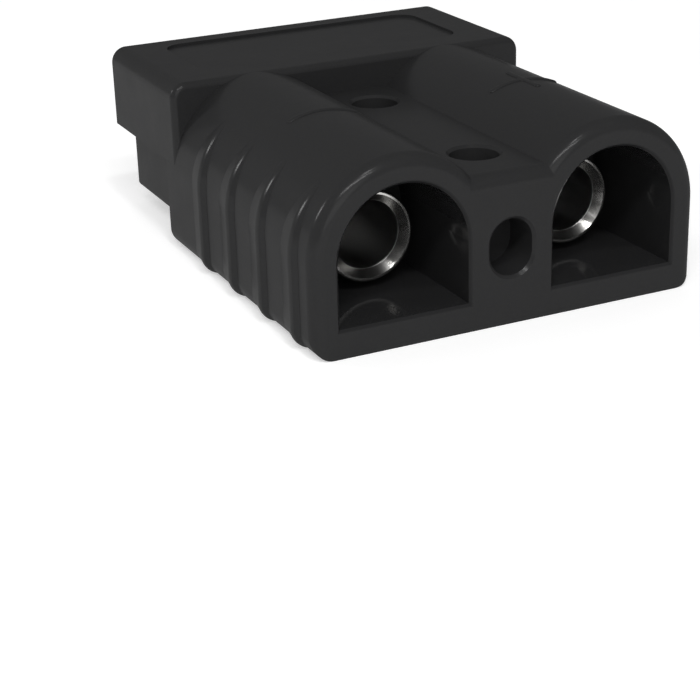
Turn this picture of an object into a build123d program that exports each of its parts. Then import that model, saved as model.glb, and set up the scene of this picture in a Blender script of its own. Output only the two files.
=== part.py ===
from build123d import *
import math
import os

os.makedirs("parts", exist_ok=True)

# Genderless two-pole power connector, 50 A class: one moulded housing, two plated contacts
# and two leaf springs. Millimetres, +Z up, origin under the middle of the housing.
# Cables enter at +Y (the rear) and the mating face looks to -Y (the front).
# The depth of an edge or a pocket in the body is its distance forwards from the rear face.

# Overall size
body_width = 36.6
overall_length = 47.8
body_height = 16.3

# Rear body: two cable barrels joined by a lower web
barrel_radius = 8.35
web_height = 13.3
bottom_corner_radius = 1.8
rear_rim_radius = 1.2

# Cable pockets, D-shaped: flat floor, upright sides, arched top
pocket_wall = 2.42
pocket_floor = 2.5
pocket_depth = 12.5
opening_lip = 0.25

# Grip ribs on the two sides of the rear body
rib_count = 4
last_rib_depth = 2.7
first_rib_setback = 6.75
rib_width = 3.4
rib_height = 0.38
rib_crest_from_rear = 0.85
rib_fade_angle = 52.0

# Slot pocket in the rear of the web, and the two mounting holes through the web
slot_width = 4.05
slot_height = 5.0
slot_bottom = 4.25
slot_depth = 3.9
mounting_hole = 4.3
mounting_hole_depth = 6.5
mounting_hole_hood_gap = 4.75

# Hood over the contacts, with two windows and a centre post
hood_overlap = 2.7
hood_setback = 0.25
hood_skirt = 8.65
hood_wall = 1.34
hood_roof = 1.5
hood_side_radius = 1.5
hood_front_radius = 0.3
hood_rear_radius = 0.6
post_width = 6.1
window_overlap = 0.8

# Shallow bare field on top of the hood
field_length = 27.4
field_width = 11.6
field_sink = 0.25
field_corner = 2.0
field_from_hood_rear = 3.5

# Contact trays below the hood
tray_length = 14.8
tray_gap = 7.1
tray_outer_inset = 1.7
tray_bottom = 2.0
tray_floor = 1.5
tray_wall_top = 8.5
tray_outer_wall = 1.6
tray_inner_wall = 1.4
tray_front_wall = 2.2
tray_lip_height = 6.25
tray_nose_height = 7.2
tray_slope_length = 3.4
tray_corner_radius = 1.1
tray_edge_radius = 0.4

# Contacts: crimp barrel, pinched throat, flat tongue and hooked nose
contact_outer = 8.1
contact_wall = 1.05
contact_axis_height = 7.3
contact_inset = 0.24
contact_depth = 7.1
contact_bore_floor = 2.0
contact_throat = 4.2
contact_pinch = 0.5
contact_countersink = 0.7
contact_rim_radius = 0.2
contact_clearance = 0.1
tongue_thickness = 2.2
tongue_edge_radius = 0.5
tongue_side_gap = 1.5
nose_length = 1.75
nose_drop = 1.0
nose_gap = 0.15
nose_front_gap = 2.2

# Leaf springs under the tongues
spring_side_gap = 0.88
spring_thickness = 0.6
spring_seat_length = 4.6
spring_bend_setback = 4.0
spring_bottom = 4.0
spring_rise_angle = 12.0
spring_corner_radius = 0.8
spring_clearance = 0.05
spring_tongue_gap = 0.05

# Worked-out places across the connector
barrel_x = body_width / 2 - barrel_radius
barrel_axis_height = body_height - barrel_radius
pocket_radius = barrel_radius - pocket_wall
tray_inner_x = tray_gap / 2
tray_outer_x = body_width / 2 - tray_outer_inset
tray_middle_x = (tray_inner_x + tray_outer_x) / 2
well_inner_x = tray_inner_x + tray_inner_wall
well_outer_x = tray_outer_x - tray_outer_wall
well_width = well_outer_x - well_inner_x
contact_x = (well_inner_x + well_outer_x) / 2 - contact_inset
tongue_width = well_width - 2 * (tongue_side_gap + contact_inset / 2)
spring_width = well_width - 2 * (spring_side_gap + contact_inset / 2)

# Worked-out places along the connector, from the front back to the contact's rear end
rear_y = overall_length / 2
body_depth = overall_length - tray_length
hood_front_depth = overall_length - hood_setback
hood_depth = body_depth - hood_overlap
window_depth = body_depth - window_overlap
rib_pitch = (body_depth - last_rib_depth - rib_width - first_rib_setback) / (rib_count - 1)
nose_depth = overall_length - tray_front_wall - nose_front_gap
spring_tip_depth = nose_depth - nose_length - nose_gap
spring_bend_depth = body_depth - spring_bend_setback
spring_start_depth = spring_bend_depth - spring_seat_length
throat_end = spring_start_depth - contact_clearance
barrel_end = throat_end - contact_throat
bore_end = barrel_end - contact_bore_floor
spring_slope = math.tan(math.radians(spring_rise_angle))
overshoot = 1.0


def section(depth):
    """Upright plane across the connector, X to the right and Z up, that faces the front."""
    return Plane(origin=(0, rear_y - depth, 0), x_dir=(1, 0, 0), z_dir=(0, -1, 0))


def side_plane(x):
    """Upright plane along the connector: forward distance from the rear face, then height."""
    return Plane(origin=(x, rear_y, 0), x_dir=(0, -1, 0), z_dir=(-1, 0, 0))


def block(x_low, x_high, depth_low, depth_high, z_low, z_high):
    """Box between two widths, two depths and two heights."""
    size = Box(x_high - x_low, depth_high - depth_low, z_high - z_low)
    return Pos((x_low + x_high) / 2, rear_y - (depth_low + depth_high) / 2, (z_low + z_high) / 2) * size


def arch_outline(radius, height):
    """Upright sides below the barrel's axis, from a given height, and a half-round top."""
    sides = Pos(0, (height + barrel_axis_height) / 2) * Rectangle(2 * radius, barrel_axis_height - height)
    top = Pos(0, barrel_axis_height) * Circle(radius)
    below = Pos(0, barrel_axis_height - radius) * Rectangle(2 * radius, 2 * radius)
    return sides + (top - below)


def body_outline(underside):
    """Underside at a height, with rounded corners, upright sides, two arches and the web."""
    height = barrel_axis_height - underside
    base = Pos(0, underside + height / 2) * Rectangle(body_width, height)
    base = fillet(base.vertices().group_by(Axis.Y)[0], bottom_corner_radius)
    web = Pos(0, web_height / 2) * Rectangle(2 * barrel_x, web_height)
    left, right = [Pos(side * barrel_x, 0) * arch_outline(barrel_radius, barrel_axis_height / 2)
                   for side in (-1, 1)]
    return base + web + left + right


def rear_body():
    """Rear body with its rounded rim, the two cable pockets and the slot between them."""
    # The rounded rim runs straight off the foot of the sides, so it is cut from a taller body.
    tall = extrude(section(0) * body_outline(-2 * bottom_corner_radius - rear_rim_radius), body_depth)
    tall = fillet(tall.faces().sort_by(Axis.Y)[-1].outer_wire().edges(), rear_rim_radius)
    body = extrude(section(0) * body_outline(0), body_depth) & tall
    for side in (-1, 1):
        pocket = Pos(side * barrel_x, 0) * arch_outline(pocket_radius, pocket_floor)
        body = body - extrude(section(-overshoot) * pocket, pocket_depth + overshoot)
    slot = Pos(0, slot_bottom + slot_height / 2) * SlotOverall(slot_height, slot_width, rotation=90)
    body = body - extrude(section(-overshoot) * slot, slot_depth + overshoot)
    mouths = ShapeList()
    for wire in body.faces().sort_by(Axis.Y)[-1].inner_wires():
        mouths = mouths + wire.edges()
    return chamfer(mouths, opening_lip)


def rib_section():
    """Flat saw-tooth at the side: a long rise towards the rear, a round crest and a short drop."""
    crest = rib_width - rib_crest_from_rear
    rise = (crest - rib_crest_from_rear * 0.7, rib_height * 0.85)
    drop = (crest + rib_crest_from_rear * 0.35, rib_height * 0.85)
    root = -2 * rib_height
    lines = [Line((0, 0), rise), ThreePointArc(rise, (crest, rib_height), drop), Line(drop, (rib_width, 0)),
             Polyline((rib_width, 0), (rib_width, root), (0, root), (0, 0))]
    return make_face(Curve() + lines)


def rib(depth):
    """One grip rib on the +X side: up the side, over the shoulder and round the bottom corner."""
    origin = (body_width / 2, rear_y - depth - rib_width, barrel_axis_height)
    tooth = Plane(origin=origin, x_dir=(0, 1, 0), z_dir=(0, 0, -1)) * rib_section()
    straight = extrude(tooth, barrel_axis_height - bottom_corner_radius, dir=(0, 0, -1))
    sink = rib_height / (1 - math.cos(math.radians(rib_fade_angle)))
    over = revolve(tooth, Axis((barrel_x + sink, 0, barrel_axis_height), (0, -1, 0)), rib_fade_angle)
    foot = Pos(0, 0, bottom_corner_radius - barrel_axis_height) * tooth
    corner_x = body_width / 2 - bottom_corner_radius + rib_height * 1.1
    under = revolve(foot, Axis((corner_x, 0, bottom_corner_radius), (0, 1, 0)), 90)
    return straight + over + under


def hood():
    """Full-width hood in front of the arches, solid, with its edges rounded."""
    height = body_height - hood_skirt
    outline = Pos(0, hood_skirt + height / 2) * Rectangle(body_width, height)
    outline = fillet(outline.vertices().group_by(Axis.Y)[-1], hood_side_radius)
    solid = extrude(section(hood_depth) * outline, hood_front_depth - hood_depth)
    front = solid.faces().sort_by(Axis.Y)[0]
    solid = fillet(front.edges().sort_by(Axis.Z)[1:], hood_front_radius)
    rear = solid.faces().sort_by(Axis.Y)[-1]
    solid = fillet(rear.edges().sort_by(Axis.Z)[1:], hood_rear_radius)
    field_y = rear_y - hood_depth - field_from_hood_rear - field_width / 2
    recess = Pos(0, field_y) * RectangleRounded(field_length, field_width, field_corner)
    return solid - extrude(Plane.XY.offset(body_height - field_sink) * recess, field_sink + overshoot)


def tray(side):
    """Contact tray: floor, two side walls with sloping fronts and a lower front wall."""
    start = body_depth - overshoot
    profile = Polyline((start, tray_bottom), (overall_length, tray_bottom),
                       (overall_length, tray_nose_height),
                       (overall_length - tray_slope_length, tray_wall_top),
                       (start, tray_wall_top), close=True)
    half = (tray_outer_x - tray_inner_x) / 2
    blank = extrude(side_plane(tray_middle_x) * make_face(profile), half, both=True)
    corners = blank.faces().sort_by(Axis.Y)[0].edges().filter_by(Axis.Z)
    blank = fillet(corners, tray_corner_radius)
    under = blank.faces().sort_by(Axis.Z)[0].edges().sort_by(Axis.Y)[:-1]
    blank = fillet(under, tray_edge_radius)
    well = block(well_inner_x, well_outer_x, start, overall_length - tray_front_wall,
                 tray_bottom + tray_floor, tray_wall_top + overshoot)
    notch = block(well_inner_x, well_outer_x, (body_depth + overall_length) / 2, overall_length + overshoot,
                  tray_lip_height, tray_wall_top + overshoot)
    solid = blank - well - notch
    return solid if side > 0 else mirror(solid, Plane.YZ)


def spring_line(offset, front, rear):
    """Side view of the leaf, raised by an offset: flat at the rear, then rising to the front."""
    def height(depth):
        return spring_bottom + max(0.0, depth - spring_bend_depth) * spring_slope + offset
    return [(rear, height(rear)), (spring_bend_depth, height(spring_bend_depth)), (front, height(front))]


def spring(side):
    """Leaf spring with rounded front corners, cut from strip."""
    under = spring_line(0, spring_tip_depth, spring_start_depth)
    over = spring_line(spring_thickness, spring_tip_depth, spring_start_depth)
    face = make_face(Polyline(*under, *reversed(over), close=True))
    leaf = extrude(side_plane(contact_x) * face, spring_width / 2, both=True)
    tip_y = rear_y - spring_tip_depth
    tip = leaf.edges().filter_by(lambda edge: edge.length < spring_thickness * 1.5
                                 and abs(edge.center().Y - tip_y) < 0.1)
    leaf = fillet(tip, spring_corner_radius)
    return leaf if side > 0 else mirror(leaf, Plane.YZ)


def tongue_bottom(depth):
    """Height of the tongue's underside, just above the spring that carries it."""
    lift = max(0.0, depth - spring_bend_depth) * spring_slope
    return spring_bottom + spring_thickness + spring_tongue_gap + lift


def tongue_side():
    """Side view of the tongue and its nose, which drops in front of the spring's edge."""
    tip = spring_tip_depth + nose_gap
    rear_low = (throat_end, tongue_bottom(throat_end))
    bend_low = (spring_bend_depth, tongue_bottom(spring_bend_depth))
    tip_low = (tip, tongue_bottom(tip))
    tip_high = (tip, tongue_bottom(tip) + tongue_thickness)
    bend_high = (spring_bend_depth, tongue_bottom(spring_bend_depth) + tongue_thickness)
    rear_high = (throat_end, tongue_bottom(throat_end) + tongue_thickness)
    hook_low = tongue_bottom(tip) - spring_thickness - nose_drop
    hook_back = (tip, hook_low + nose_length / 2)
    hook_front = (nose_depth, hook_low + nose_length / 2)
    hook_foot = (tip + nose_length / 2, hook_low)
    brow = (nose_depth - nose_length * 0.3, tip_high[1] - nose_length * 0.3)
    lines = [Line(rear_low, bend_low), Line(bend_low, tip_low), Line(tip_low, hook_back),
             ThreePointArc(hook_back, hook_foot, hook_front),
             Line(hook_front, (nose_depth, tip_high[1] - nose_length)),
             ThreePointArc((nose_depth, tip_high[1] - nose_length), brow, tip_high),
             Line(tip_high, bend_high), Line(bend_high, rear_high), Line(rear_high, rear_low)]
    return make_face(Curve() + lines)


def contact(side):
    """Formed contact: round crimp barrel, pinched throat, flat tongue and hooked nose."""
    outer_radius = contact_outer / 2
    bore_radius = outer_radius - contact_wall
    centre = Pos(contact_x, contact_axis_height)
    ring = centre * Circle(outer_radius)
    barrel = extrude(section(contact_depth) * ring, barrel_end - contact_depth)
    hole = centre * Circle(bore_radius)
    bore = extrude(section(contact_depth - overshoot) * hole, bore_end - contact_depth + overshoot)
    barrel = barrel - bore
    rear_edges = barrel.faces().sort_by(Axis.Y)[-1].edges()
    barrel = chamfer(rear_edges.sort_by(SortBy.RADIUS)[0], contact_countersink)
    rear_edges = barrel.faces().sort_by(Axis.Y)[-1].edges()
    barrel = fillet(rear_edges.sort_by(SortBy.RADIUS)[-1], contact_rim_radius)
    # The tube is flattened in front of the wire bore, which narrows to a pinched slit. Both round
    # outlines start at an eighth of a turn, where the flat outline has a corner.
    eighth = Rot(0, 0, 45)
    flat_middle = tongue_bottom(throat_end) + tongue_thickness / 2
    flat = Pos(contact_x, flat_middle) * RectangleRounded(tongue_width, tongue_thickness, tongue_edge_radius)
    throat = loft([section(barrel_end) * (centre * eighth * Circle(outer_radius)),
                   section(throat_end) * flat])
    slit = centre * SlotOverall(2 * bore_radius, contact_pinch)
    pinch = loft([section(bore_end) * (centre * eighth * Circle(bore_radius)), section(barrel_end) * slit])
    tongue = extrude(side_plane(contact_x) * tongue_side(), tongue_width / 2, both=True)
    rims = ShapeList()
    for cheek in (tongue.faces().sort_by(Axis.X)[0], tongue.faces().sort_by(Axis.X)[-1]):
        rims = rims + cheek.edges().filter_by(lambda edge: edge.length > tongue_thickness * 1.5)
    tongue = fillet(rims, tongue_edge_radius)
    solid = barrel + throat + tongue - pinch
    return solid if side > 0 else mirror(solid, Plane.YZ)


def passage(side):
    """Way through for one pole in front of the cable pocket: barrel seat, tongue and spring slots."""
    seat = Pos(contact_x, contact_axis_height) * Circle(contact_outer / 2 + contact_clearance)
    cut = extrude(section(-overshoot) * seat, spring_start_depth + overshoot)
    front = body_depth + overshoot
    half_tongue = tongue_width / 2 + 2 * contact_clearance
    roof = tongue_bottom(front) + tongue_thickness + nose_drop + 2 * contact_clearance
    cut = cut + block(contact_x - half_tongue, contact_x + half_tongue, barrel_end, front,
                      spring_bottom + spring_thickness / 2, roof)
    half_spring = spring_width / 2 + spring_clearance
    under = spring_line(-spring_clearance, front, spring_start_depth)
    over = spring_line(spring_thickness + spring_clearance, front, spring_start_depth)
    over[-1] = (front, roof - nose_drop)
    leaf = make_face(Polyline(*under, *reversed(over), close=True))
    cut = cut + extrude(side_plane(contact_x) * leaf, half_spring, both=True)
    return cut if side > 0 else mirror(cut, Plane.YZ)


def window(side):
    """Opening in the hood's front for the mating connector's tray."""
    cut = block(post_width / 2, body_width / 2 - hood_wall, window_depth, overall_length + overshoot,
                tray_wall_top, body_height - hood_roof)
    return cut if side > 0 else mirror(cut, Plane.YZ)


def housing():
    """The one-piece moulding."""
    solid = rear_body()
    for index in range(rib_count):
        one = rib(last_rib_depth + index * rib_pitch)
        solid = solid + one + mirror(one, Plane.YZ)
    solid = solid + hood()
    for side in (1, -1):
        solid = solid - window(side)
        solid = solid + tray(side)
        solid = solid - passage(side)
    for depth in (mounting_hole_depth, hood_depth - mounting_hole_hood_gap):
        hole = Pos(0, rear_y - depth, web_height / 2) * Cylinder(mounting_hole / 2, web_height + overshoot)
        solid = solid - hole
    mouths = solid.edges().filter_by(lambda edge: edge.geom_type == GeomType.CIRCLE
                                     and abs(edge.radius - mounting_hole / 2) < 0.001
                                     and abs(edge.center().Z - web_height) < 0.001)
    return chamfer(mouths, opening_lip)


pieces = {
    "housing": housing(),
    "contact_positive": contact(-1),
    "contact_negative": contact(1),
    "spring_positive": spring(-1),
    "spring_negative": spring(1),
}

for name, piece in pieces.items():
    solids = piece.solids()
    print(name, len(solids), "solid(s)", round(piece.volume, 1), "mm3", piece.bounding_box().size)
    export_step(piece, f"parts/{name}.step")
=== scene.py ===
# %% [markdown]
# A two-pole power connector, dressed for its portrait. The CAD model already holds every
# solid at its real size: one black moulded housing, two plated crimp contacts and the two
# leaf springs under their tongues. The looks could be a new set of meshes, but the CAD
# surfaces are smooth and exact, so they stay. What this file adds is the finish of each
# material, the raised polarity marks on the barrels, and a small studio.
# Everything is in metres, in the CAD model's own frame: +Z is up, +Y points to the cable end.

import math

import bmesh
import bpy
import numpy as np
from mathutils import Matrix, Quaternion, Vector


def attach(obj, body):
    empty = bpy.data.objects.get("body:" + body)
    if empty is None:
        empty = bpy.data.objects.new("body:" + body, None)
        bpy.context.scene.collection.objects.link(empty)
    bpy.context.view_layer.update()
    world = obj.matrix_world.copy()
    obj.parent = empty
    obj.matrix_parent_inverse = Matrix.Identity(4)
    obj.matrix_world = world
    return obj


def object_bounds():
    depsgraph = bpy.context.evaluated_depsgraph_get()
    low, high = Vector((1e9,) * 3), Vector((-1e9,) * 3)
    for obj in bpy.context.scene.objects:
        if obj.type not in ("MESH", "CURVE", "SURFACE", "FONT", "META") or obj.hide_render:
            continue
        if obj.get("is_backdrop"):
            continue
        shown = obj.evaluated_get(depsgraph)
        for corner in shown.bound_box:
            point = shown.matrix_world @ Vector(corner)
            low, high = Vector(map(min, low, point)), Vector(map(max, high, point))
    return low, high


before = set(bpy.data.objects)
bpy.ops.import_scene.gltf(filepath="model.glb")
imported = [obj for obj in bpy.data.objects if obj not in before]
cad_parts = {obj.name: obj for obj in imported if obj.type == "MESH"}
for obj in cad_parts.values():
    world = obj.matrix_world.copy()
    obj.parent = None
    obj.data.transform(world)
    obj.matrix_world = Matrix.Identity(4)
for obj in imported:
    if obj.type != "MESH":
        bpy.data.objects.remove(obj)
cad_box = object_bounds()
MM = 0.001
BODY = "root"
print("CAD nodes:", ", ".join(sorted(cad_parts)))
print("CAD box, mm:", [[round(value / MM, 2) for value in corner] for corner in cad_box])

# %% [markdown]
# The camera comes first, because every finish is judged through it. Its place could be
# guessed and nudged, but corners of the housing whose real positions are known were matched
# to their pixels in the photograph, which gives one exact place, direction and lens. The
# camera looks down on the cable end from behind, on the +X side, tipped by a small roll.

# %% Camera at the photograph's viewpoint
PHOTO_PIXELS = 700
FOCAL_PIXELS = 1796.94
SENSOR_WIDTH = 36.0
CAMERA_PLACE = Vector((71.41, 145.573, 57.511)) * MM
CAMERA_TARGET = Vector((22.374, 39.531, 8.0)) * MM
CAMERA_ROLL = math.radians(-1.79)
NEAREST, FARTHEST = 0.01, 50.0

camera_data = bpy.data.cameras.new("camera")
camera_data.sensor_width = SENSOR_WIDTH
camera_data.lens = FOCAL_PIXELS / PHOTO_PIXELS * SENSOR_WIDTH
camera_data.clip_start, camera_data.clip_end = NEAREST, FARTHEST
camera = bpy.data.objects.new("camera", camera_data)
bpy.context.scene.collection.objects.link(camera)
bpy.context.scene.camera = camera
level = (CAMERA_TARGET - CAMERA_PLACE).to_track_quat("-Z", "Y")
camera.rotation_mode = "QUATERNION"
camera.location = CAMERA_PLACE
camera.rotation_quaternion = level @ Quaternion((0.0, 0.0, 1.0), CAMERA_ROLL)


def photo_pixel(point):
    """Where a point in space falls in the photograph: its sideways and upward offsets in
    the camera's own axes, divided by its depth and multiplied by the focal length."""
    seen = camera.rotation_quaternion.inverted() @ (Vector(point) - camera.location)
    across = PHOTO_PIXELS / 2 + FOCAL_PIXELS * seen.x / -seen.z
    down = PHOTO_PIXELS / 2 - FOCAL_PIXELS * seen.y / -seen.z
    return round(across, 1), round(down, 1)


low, high = cad_box
print("lens, mm:", round(camera_data.lens, 2))
print("near bottom corner at pixel:", photo_pixel((high.x, high.y, low.z)))

# %% [markdown]
# A finish is a small network of nodes. Most of its steps are sums on one number, such as a
# distance or a share, and each needs a Math node and two or three links. They could be
# wired one by one. A helper that takes sockets or plain numbers keeps each sum on one line.
# A Mix node has sockets for every kind of data, under the same few names, so the ones for
# colours are picked by their place in the list.

# %% Helpers for node networks
MIX_FIRST_COLOR, MIX_SECOND_COLOR, MIX_COLOR_RESULT = 6, 7, 2


def put(tree, socket, value):
    """Links a socket to another, or sets it where the value is a plain number or colour."""
    if isinstance(value, bpy.types.NodeSocket):
        tree.links.new(value, socket)
    else:
        socket.default_value = value


def sum_node(tree, operation, *values):
    """One Math node: the operation's name, then its inputs in order."""
    node = tree.nodes.new("ShaderNodeMath")
    node.operation = operation
    for socket, value in zip(node.inputs, values):
        put(tree, socket, value)
    return node.outputs["Value"]


def blend_colors(tree, share, first, second):
    """A colour that goes from the first to the second as the share goes from 0 to 1."""
    node = tree.nodes.new("ShaderNodeMix")
    node.data_type = "RGBA"
    put(tree, node.inputs["Factor"], share)
    put(tree, node.inputs[MIX_FIRST_COLOR], first)
    put(tree, node.inputs[MIX_SECOND_COLOR], second)
    return node.outputs[MIX_COLOR_RESULT]


def blend_numbers(tree, share, first, second):
    """A number that goes from the first to the second as the share goes from 0 to 1."""
    node = tree.nodes.new("ShaderNodeMapRange")
    put(tree, node.inputs["Value"], share)
    put(tree, node.inputs["To Min"], first)
    put(tree, node.inputs["To Max"], second)
    return node.outputs["Result"]


def new_group(name, given, results):
    """A node group with named inputs, each with its kind and starting value, and outputs."""
    group = bpy.data.node_groups.new(name, "ShaderNodeTree")
    for label, kind, value in given:
        socket = group.interface.new_socket(
            name=label, in_out="INPUT", socket_type="NodeSocket" + kind
        )
        socket.default_value = value
    for label, kind in results:
        group.interface.new_socket(name=label, in_out="OUTPUT", socket_type="NodeSocket" + kind)
    inside = group.nodes.new("NodeGroupInput").outputs
    outside = group.nodes.new("NodeGroupOutput").inputs
    return group, inside, outside


print("node helpers ready")

# %% [markdown]
# Plastic and metal here share one effect: a fine texture that breaks up the highlights. It
# is sparked grain on the plastic, rolling lines on the steel and drawing lines on the plated
# copper. They could be three separate noise set-ups. One shared group does it instead: noise
# read at a stretched scale drives a little colour, a little roughness and the height of a
# bump, and each material sets its own numbers. A noise seldom comes near 0 or 1, so the span
# that it does cover is spread out to the full range of roughness.

# %% Shared node group: surface texture
FINE_DETAIL = 2.0
CLOUD_DETAIL = 4.0
CLOUD_SPAN = (0.3, 0.7)


def build_surface_texture():
    """Height is a fine noise. Colour goes from the dark to the light tone with the mean of
    the fine noise and a coarse cloud, and roughness goes from low to high with the cloud."""
    group, given, result = new_group(
        "surface_texture",
        (
            ("Stretch", "Vector", (1.0, 1.0, 1.0)),
            ("Fine Scale", "Float", 5000.0),
            ("Cloud Scale", "Float", 200.0),
            ("Dark Tone", "Color", (0.0, 0.0, 0.0, 1.0)),
            ("Light Tone", "Color", (1.0, 1.0, 1.0, 1.0)),
            ("Rough Low", "Float", 0.3),
            ("Rough High", "Float", 0.5),
        ),
        (("Color", "Color"), ("Roughness", "Float"), ("Height", "Float")),
    )
    stretch = group.nodes.new("ShaderNodeVectorMath")
    stretch.operation = "MULTIPLY"
    place = group.nodes.new("ShaderNodeTexCoord")
    put(group, stretch.inputs[0], place.outputs["Object"])
    put(group, stretch.inputs[1], given["Stretch"])
    noises = []
    for scale, detail in (("Fine Scale", FINE_DETAIL), ("Cloud Scale", CLOUD_DETAIL)):
        noise = group.nodes.new("ShaderNodeTexNoise")
        noise.inputs["Detail"].default_value = detail
        put(group, noise.inputs["Vector"], stretch.outputs["Vector"])
        put(group, noise.inputs["Scale"], given[scale])
        noises.append(noise.outputs["Fac"])
    fine, cloud = noises
    spread = group.nodes.new("ShaderNodeMapRange")
    spread.inputs["From Min"].default_value = CLOUD_SPAN[0]
    spread.inputs["From Max"].default_value = CLOUD_SPAN[1]
    put(group, spread.inputs["Value"], cloud)
    mean = sum_node(group, "MULTIPLY", sum_node(group, "ADD", fine, cloud), 0.5)
    put(group, result["Color"], blend_colors(group, mean, given["Dark Tone"], given["Light Tone"]))
    rough = blend_numbers(group, spread.outputs["Result"], given["Rough Low"], given["Rough High"])
    put(group, result["Roughness"], rough)
    put(group, result["Height"], fine)
    return group


surface_texture = build_surface_texture()
print("node group:", surface_texture.name, "with", len(surface_texture.nodes), "nodes")

# %% [markdown]
# Two finishes change where the surface turns inwards. The cable pockets are formed by
# polished cores, and so are smoother. The crimp bores are drilled, so rougher, and their metal
# is darkened there as painted shade for the deep hollow. The faces could be picked by hand and
# given materials of their own, with a hard line between them.
# A mask that follows position needs no picking: it is 1 inside a hollow of known axis and
# radius and 0 outside, and one group serves both the pockets and the bores.

# %% Shared node group: hollow mask
def build_hollow_mask():
    """Inside is where the distance from the hollow's axis is under its radius. X is folded at
    the middle plane, so one axis stands for both poles. Flat Below is 1 for an arch, whose
    walls run straight down under the axis to the floor, and 0 for a round bore."""
    group, given, result = new_group(
        "hollow_mask",
        (
            ("Axis X", "Float", 0.01),
            ("Axis Z", "Float", 0.008),
            ("Radius", "Float", 0.006),
            ("Soft Edge", "Float", 0.0001),
            ("Flat Below", "Float", 0.0),
            ("Floor Z", "Float", 0.0),
            ("Front Y", "Float", 0.0),
        ),
        (("Mask", "Float"),),
    )
    place = group.nodes.new("ShaderNodeTexCoord")
    apart = group.nodes.new("ShaderNodeSeparateXYZ")
    put(group, apart.inputs["Vector"], place.outputs["Object"])
    x, y, z = apart.outputs["X"], apart.outputs["Y"], apart.outputs["Z"]
    across = sum_node(group, "SUBTRACT", sum_node(group, "ABSOLUTE", x), given["Axis X"])
    rise = sum_node(group, "SUBTRACT", z, given["Axis Z"])
    drop = sum_node(group, "MULTIPLY", rise, sum_node(group, "SUBTRACT", 1.0, given["Flat Below"]))
    upward = sum_node(group, "MAXIMUM", rise, drop)
    height_square = sum_node(group, "MULTIPLY", upward, upward)
    squares = sum_node(group, "MULTIPLY_ADD", across, across, height_square)
    edge = group.nodes.new("ShaderNodeMapRange")
    edge.interpolation_type = "SMOOTHSTEP"
    put(group, edge.inputs["Value"], sum_node(group, "SQRT", squares))
    put(group, edge.inputs["From Min"], given["Radius"])
    put(group, edge.inputs["From Max"], sum_node(group, "ADD", given["Radius"], given["Soft Edge"]))
    put(group, edge.inputs["To Min"], 1.0)
    put(group, edge.inputs["To Max"], 0.0)
    above = sum_node(group, "GREATER_THAN", z, given["Floor Z"])
    behind = sum_node(group, "GREATER_THAN", y, given["Front Y"])
    room = sum_node(group, "MULTIPLY", above, behind)
    put(group, result["Mask"], sum_node(group, "MULTIPLY", edge.outputs["Result"], room))
    return group


hollow_mask = build_hollow_mask()
print("node group:", hollow_mask.name, "with", len(hollow_mask.nodes), "nodes")

# %% [markdown]
# Each material starts the same way: a Principled shader, the texture group with this
# finish's own numbers, and a Bump node whose distance is the real height of the grain. A
# material could be copied from a finished one and changed, but a helper keeps every number
# of a finish in one call.

# %% A base for each material
def place_group(tree, group, **settings):
    """Puts a node group into a material and sets its inputs: fine_scale is Fine Scale."""
    node = tree.nodes.new("ShaderNodeGroup")
    node.node_tree = group
    for label, value in settings.items():
        node.inputs[label.replace("_", " ").title()].default_value = value
    return node.outputs


def start_material(name, bump_height, **settings):
    """A Principled material with its texture and its bump joined up. A finish that changes
    inside a hollow joins its colour, roughness or height again, through a mask."""
    material = bpy.data.materials.new(name)
    material.use_nodes = True
    tree = material.node_tree
    shader = tree.nodes["Principled BSDF"]
    texture = place_group(tree, surface_texture, **settings)
    bump = tree.nodes.new("ShaderNodeBump")
    bump.inputs["Distance"].default_value = bump_height
    put(tree, bump.inputs["Height"], texture["Height"])
    put(tree, shader.inputs["Normal"], bump.outputs["Normal"])
    put(tree, shader.inputs["Base Color"], texture["Color"])
    put(tree, shader.inputs["Roughness"], texture["Roughness"])
    return material, tree, shader.inputs, texture, bump.inputs


print("material helpers ready")

# %% [markdown]
# The housing is one moulding in black polycarbonate. Its outer faces carry the fine satin
# grain of a sparked mould, which leaves a broad, weak sheen. The cable pockets come off
# polished cores, so their walls and floors mirror the plated rings sharply. One roughness
# can't be both. Outside, a thin coat over a matt base gives the sheen; inside, where the
# mask says pocket, the coat fades out and the base turns smooth.

# %% Housing plastic
PLASTIC_DARK = (0.0155, 0.0155, 0.016, 1.0)
PLASTIC_LIGHT = (0.024, 0.024, 0.0245, 1.0)
PLASTIC_SPECULAR = 0.06
POCKET_ROUGHNESS = 0.09
COAT_OUTSIDE = 0.10
COAT_IOR = 1.8
COAT_ROUGHNESS = 0.20
BARREL_AXIS_X = 9.95 * MM
BARREL_AXIS_Z = 7.95 * MM
POCKET_GRAIN = 0.02

plastic, tree, shader, texture, bump = start_material(
    "housing_plastic",
    bump_height=0.004 * MM,
    fine_scale=5200.0,
    cloud_scale=260.0,
    dark_tone=PLASTIC_DARK,
    light_tone=PLASTIC_LIGHT,
    rough_low=0.70,
    rough_high=0.84,
)
in_pocket = place_group(
    tree,
    hollow_mask,
    axis_x=BARREL_AXIS_X,
    axis_z=BARREL_AXIS_Z,
    radius=6.0 * MM,
    soft_edge=0.25 * MM,
    flat_below=1.0,
    floor_z=2.3 * MM,
    front_y=11.3 * MM,
)["Mask"]
rough = blend_numbers(tree, in_pocket, texture["Roughness"], POCKET_ROUGHNESS)
put(tree, shader["Roughness"], rough)
put(tree, shader["Coat Weight"], blend_numbers(tree, in_pocket, COAT_OUTSIDE, 0.0))
grain = blend_numbers(tree, in_pocket, 1.0, POCKET_GRAIN)
put(tree, bump["Height"], sum_node(tree, "MULTIPLY", texture["Height"], grain))
shader["Specular IOR Level"].default_value = PLASTIC_SPECULAR
shader["Coat IOR"].default_value = COAT_IOR
shader["Coat Roughness"].default_value = COAT_ROUGHNESS
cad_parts["housing"].data.materials[0] = plastic
print("housing finish:", plastic.name)
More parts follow.
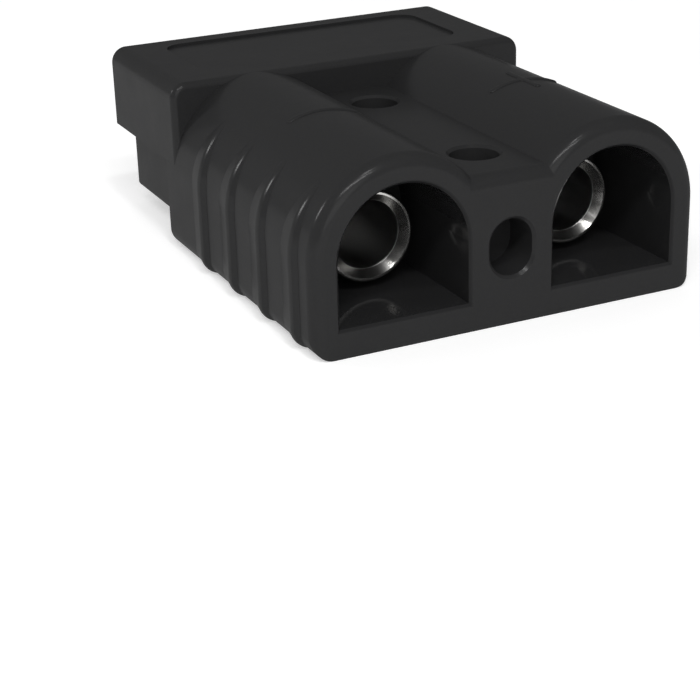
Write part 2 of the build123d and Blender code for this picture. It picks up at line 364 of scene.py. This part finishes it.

# %% [markdown]
# The contacts are copper with a bright silver plating. Drawing and stamping run along the
# part, so the faint lines do too: the texture is squeezed along Y, which draws each speck
# of noise out into a streak. Inside the bore the mask takes over: there the metal is rougher,
# as drilled copper is, and its colour is darkened as painted shade for the deep hollow.

# %% Contact plating
# Painted shade: the darker colour inside the bore stands in for the shade of the deep hollow.
BORE_PAINTED_SHADE = (0.33, 0.33, 0.328, 1.0)
BORE_ROUGHNESS = 0.30

silver, tree, shader, texture, _ = start_material(
    "silver_plating",
    bump_height=0.0012 * MM,
    stretch=(1.0, 0.08, 1.0),
    fine_scale=4200.0,
    cloud_scale=300.0,
    dark_tone=(0.46, 0.455, 0.44, 1.0),
    light_tone=(0.66, 0.65, 0.635, 1.0),
    rough_low=0.13,
    rough_high=0.20,
)
in_bore = place_group(
    tree,
    hollow_mask,
    axis_x=9.735 * MM,
    axis_z=7.3 * MM,
    radius=3.03 * MM,
    soft_edge=0.05 * MM,
    front_y=4.0 * MM,
)["Mask"]
# Inside the bore the base colour turns to the painted shade tone, and the roughness to the drilled
# finish.
put(tree, shader["Base Color"], blend_colors(tree, in_bore, texture["Color"], BORE_PAINTED_SHADE))
put(tree, shader["Roughness"], blend_numbers(tree, in_bore, texture["Roughness"], BORE_ROUGHNESS))
shader["Metallic"].default_value = 1.0
for pole in ("positive", "negative"):
    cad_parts["contact_" + pole].data.materials[0] = silver
print("contact finish:", silver.name)

# %% [markdown]
# The leaf springs are stainless strip. Strip is rolled and lightly brushed along its length,
# so the same texture is squeezed much harder along Y, in fine lines, and the roughness is a
# little higher than that of the plating.

# %% Spring steel
steel, _, shader, _, _ = start_material(
    "spring_steel",
    bump_height=0.0015 * MM,
    stretch=(1.0, 0.03, 1.0),
    fine_scale=9000.0,
    cloud_scale=500.0,
    dark_tone=(0.42, 0.42, 0.41, 1.0),
    light_tone=(0.60, 0.60, 0.59, 1.0),
    rough_low=0.22,
    rough_high=0.36,
)
shader["Metallic"].default_value = 1.0
for pole in ("positive", "negative"):
    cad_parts["spring_" + pole].data.materials[0] = steel
print("spring finish:", steel.name)

# %% [markdown]
# Each barrel wears a small raised polarity mark, cut into the mould with a ball-ended tool:
# a bar for the minus pole, two crossed bars for the plus. A mark could be a bump in the
# material, but a real ridge throws its own highlight, so it is geometry. Both marks are
# arms that meet at one point, two for the bar and four for the cross. Every point of the
# outline has a foot on the middle line of its arm, and the surface climbs from the outline
# to that foot along a quarter of an ellipse.

# %% Outline and feet of a mark
MARK_HALF_WIDTH = 0.30 * MM
BAR_ARMS = (3.4 * MM, 3.4 * MM)
CROSS_ARMS = (3.6 * MM, 2.8 * MM, 3.6 * MM, 2.8 * MM)
CORNER_STEPS = 4
SIDE_STEPS = 14
END_STEPS = 9


def mark_outline(arm_lengths):
    """Goes round all arms: out along one side, round the end, back along the other side. An
    arm's sides start where they meet its neighbours', half a width divided by the tangent of
    half the angle between arms. Each arm is worked out along its own length and width, then
    turned to its direction. Gives outline points and their feet, both as columns."""
    reach = np.array(arm_lengths)[:, None] - MARK_HALF_WIDTH
    arms = len(arm_lengths)
    start = MARK_HALF_WIDTH / math.tan(math.pi / arms)
    corner_feet = np.tile(np.linspace(0.0, start, CORNER_STEPS), (arms, 1))
    side_feet = start + (reach - start) * np.linspace(0.0, 1.0, SIDE_STEPS)
    feet = np.hstack([corner_feet, side_feet])
    sides = np.maximum(feet, start)
    bend = np.linspace(-math.pi / 2, math.pi / 2, END_STEPS)
    end_out = reach + MARK_HALF_WIDTH * np.cos(bend)
    end_aside = np.tile(MARK_HALF_WIDTH * np.sin(bend), (arms, 1))
    end_feet = np.tile(reach, (1, END_STEPS))
    out = np.hstack([sides, end_out, sides[:, ::-1]])
    aside = np.hstack([0 * sides - MARK_HALF_WIDTH, end_aside, 0 * sides + MARK_HALF_WIDTH])
    foot = np.hstack([feet, end_feet, feet[:, ::-1]])
    way = np.arange(arms)[:, None] * 2 * math.pi / arms
    outline = (out * np.cos(way) - aside * np.sin(way), out * np.sin(way) + aside * np.cos(way))
    spine = (foot * np.cos(way), foot * np.sin(way))
    return [part.ravel() for part in outline], [part.ravel() for part in spine]


for sign, arm_lengths in (("bar", BAR_ARMS), ("cross", CROSS_ARMS)):
    print(sign, "outline points:", mark_outline(arm_lengths)[0][0].size)

# %% [markdown]
# The mark is worked out flat and then rolled onto the barrel: the distance across becomes
# an angle, the height is added to the barrel's radius, and the distance along stays. Its rim
# goes a little way into the plastic, as a moulded ridge grows out of its wall, so no gap can
# show under it.

# %% A mark, rolled onto its barrel
BARREL_RADIUS = 8.35 * MM
MARK_HEIGHT = 0.15 * MM
MARK_SINK = 0.2 * MM
CROWN_STEPS = 7
MERGE_DISTANCE = 1e-7


def raised_mark(name, side, middle_y, arm_lengths):
    """Rows run from a point under the spine, out to the sunk rim, up to the rim, and over the
    crown to the spine. In row k a point is its foot plus a share of the way to the outline,
    and its height is the mark's height times the root of one less the share squared."""
    (out_a, out_b), (foot_a, foot_b) = mark_outline(arm_lengths)
    crown = np.sin(np.linspace(math.pi / 2, 0.0, CROWN_STEPS))
    share = np.concatenate([[0.0, 1.0], crown])[:, None]
    height = np.concatenate([[-MARK_SINK, -MARK_SINK], MARK_HEIGHT * np.sqrt(1.0 - crown ** 2)])
    across = foot_a + share * (out_a - foot_a)
    along = foot_b + share * (out_b - foot_b)
    radius = BARREL_RADIUS + height[:, None]
    angle = across / BARREL_RADIUS
    x = side * BARREL_AXIS_X + radius * np.sin(angle)
    z = BARREL_AXIS_Z + radius * np.cos(angle)
    points = np.stack([x, middle_y + along, z], axis=-1).reshape(-1, 3)
    rows, count = across.shape
    first = (np.arange(rows - 1)[:, None] * count + np.arange(count)).ravel()
    after = (np.arange(rows - 1)[:, None] * count + (np.arange(count) + 1) % count).ravel()
    quads = np.column_stack([first, after, after + count, first + count])
    mesh = bpy.data.meshes.new(name)
    mesh.from_pydata(points.tolist(), [], quads.tolist())
    shape = bmesh.new()
    shape.from_mesh(mesh)
    bmesh.ops.remove_doubles(shape, verts=shape.verts, dist=MERGE_DISTANCE)
    bmesh.ops.recalc_face_normals(shape, faces=shape.faces)
    open_edges = sum(not edge.is_manifold for edge in shape.edges)
    shape.to_mesh(mesh)
    shape.free()
    mesh.polygons.foreach_set("use_smooth", np.ones(len(mesh.polygons), dtype=bool))
    mesh.materials.append(plastic)
    mark = bpy.data.objects.new(name, mesh)
    bpy.context.scene.collection.objects.link(mark)
    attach(mark, BODY)
    print(name, "faces:", len(mesh.polygons), "open edges:", open_edges)


raised_mark("polarity_mark_minus", side=1, middle_y=8.4 * MM, arm_lengths=BAR_ARMS)
raised_mark("polarity_mark_plus", side=-1, middle_y=8.6 * MM, arm_lengths=CROSS_ARMS)

# %% [markdown]
# The studio is a pale floor and, above it, a soft surround and four soft lamps. The floor
# could be made white with more light, but that would bleach the black plastic too. Its white
# comes from its own colour and from a lift that only the camera and mirrors see, so the
# light on the object stays at a plain level.

# %% Floor
FLOOR_HALF = 3.0
FLOOR_COLOR = (0.8, 0.8, 0.8, 1.0)
FLOOR_LIFT = 0.42
FLOOR_ROUGHNESS = 0.9


def build_floor():
    """One square, level with the underside, that stretches well past every view. What the
    camera, mirrors and glass see of it is lifted to white; the light it sends to the object
    stays that of its colour, and the object's shadow stays on it."""
    mesh = bpy.data.meshes.new("floor")
    corners = [(-1, -1), (1, -1), (1, 1), (-1, 1)]
    verts = [(x * FLOOR_HALF, y * FLOOR_HALF, low.z) for x, y in corners]
    mesh.from_pydata(verts, [], [(0, 1, 2, 3)])
    floor = bpy.data.objects.new("floor", mesh)
    bpy.context.scene.collection.objects.link(floor)
    material = bpy.data.materials.new("pale_floor")
    material.use_nodes = True
    tree = material.node_tree
    shader = tree.nodes["Principled BSDF"].inputs
    shader["Base Color"].default_value = FLOOR_COLOR
    shader["Roughness"].default_value = FLOOR_ROUGHNESS
    shader["Specular IOR Level"].default_value = 0.0
    shader["Emission Color"].default_value = (1.0, 1.0, 1.0, 1.0)
    ray = tree.nodes.new("ShaderNodeLightPath").outputs
    seen = sum_node(tree, "MAXIMUM", ray["Is Camera Ray"], ray["Is Glossy Ray"])
    seen = sum_node(tree, "MAXIMUM", seen, ray["Is Transmission Ray"])
    put(tree, shader["Emission Strength"], sum_node(tree, "MULTIPLY", seen, FLOOR_LIFT))
    mesh.materials.append(material)
    floor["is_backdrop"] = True
    return floor


floor = build_floor()
print(floor.name, "side, m:", 2 * FLOOR_HALF)

# %% [markdown]
# An even white sky would light the connector well enough, but black plastic then looks flat:
# its shape is told by reflections. So the sky is kept low, and most of the light comes from
# rectangular lamps, each placed where one kind of edge mirrors it into the camera.

# %% Surround
SURROUND_LEVEL = 0.34
world = bpy.data.worlds.new("surround")
bpy.context.scene.world = world
world.use_nodes = True
background = world.node_tree.nodes["Background"]
background.inputs["Color"].default_value = (1.0, 1.0, 1.0, 1.0)
background.inputs["Strength"].default_value = SURROUND_LEVEL
print("surround level:", SURROUND_LEVEL)

# %% [markdown]
# The side lamp stands low towards the mating end and shows as a short streak on every grip
# rib. The rear lamp is a long strip above the camera, drawn out along the rounded rims of the
# cable entries. The small top lamp catches the polarity marks, and the wide fill lamp, low
# behind the camera, lights the faces turned to it and reaches into the pockets.

# %% Soft lamps
# Azimuth and elevation in degrees; distance, width and height in metres; level.
SOFTBOXES = {
    "side_softbox": (47.0, 22.0, 0.6, 0.05, 0.12, 0.22),
    "rear_softbox": (157.0, 46.0, 0.6, 0.36, 0.045, 0.42),
    "top_softbox": (168.0, 60.0, 0.6, 0.06, 0.03, 0.12),
    "fill_softbox": (160.0, 18.0, 0.8, 0.6, 0.4, 0.22),
}
LOOK_AT = (low + high) / 2


def add_softbox(name, azimuth, elevation, distance, width, height, level):
    """A rectangular lamp that faces the object. Its power is worked out from the level that
    it adds on a surface facing it: level times pi squared times the distance squared."""
    a, e = math.radians(azimuth), math.radians(elevation)
    way = Vector((math.sin(a) * math.cos(e), -math.cos(a) * math.cos(e), math.sin(e)))
    data = bpy.data.lights.new(name, "AREA")
    data.shape = "RECTANGLE"
    data.size, data.size_y = width, height
    data.energy = level * math.pi ** 2 * distance ** 2
    lamp = bpy.data.objects.new(name, data)
    bpy.context.scene.collection.objects.link(lamp)
    lamp.location = LOOK_AT + way * distance
    lamp.rotation_mode = "QUATERNION"
    lamp.rotation_quaternion = (-way).to_track_quat("-Z", "Y")
    print(name, "power, W:", round(data.energy, 2))


for name, values in SOFTBOXES.items():
    add_softbox(name, *values)

# %% [markdown]
# Blender can tone a picture down as film does, which its own default view does. That suits
# bright scenes but shifts every colour a little. The Standard view shows each colour as it
# was written, so the black plastic can be compared with the photograph level by level.

# %% Colour view
bpy.context.scene.view_settings.view_transform = "Standard"
print("view:", bpy.context.scene.view_settings.view_transform)

# %% [markdown]
# Last comes a measurement. The box of the CAD model was kept at the start. The box of what is
# now shown could only have grown by the two raised marks, and both boxes are printed in
# millimetres.

# %% Sizes
visual_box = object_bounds()
boxes = {"cad": cad_box, "visual": visual_box}
boxes = {name: [list(corner) for corner in box] for name, box in boxes.items()}
print("visual box, mm:", [[round(value / MM, 2) for value in corner] for corner in visual_box])
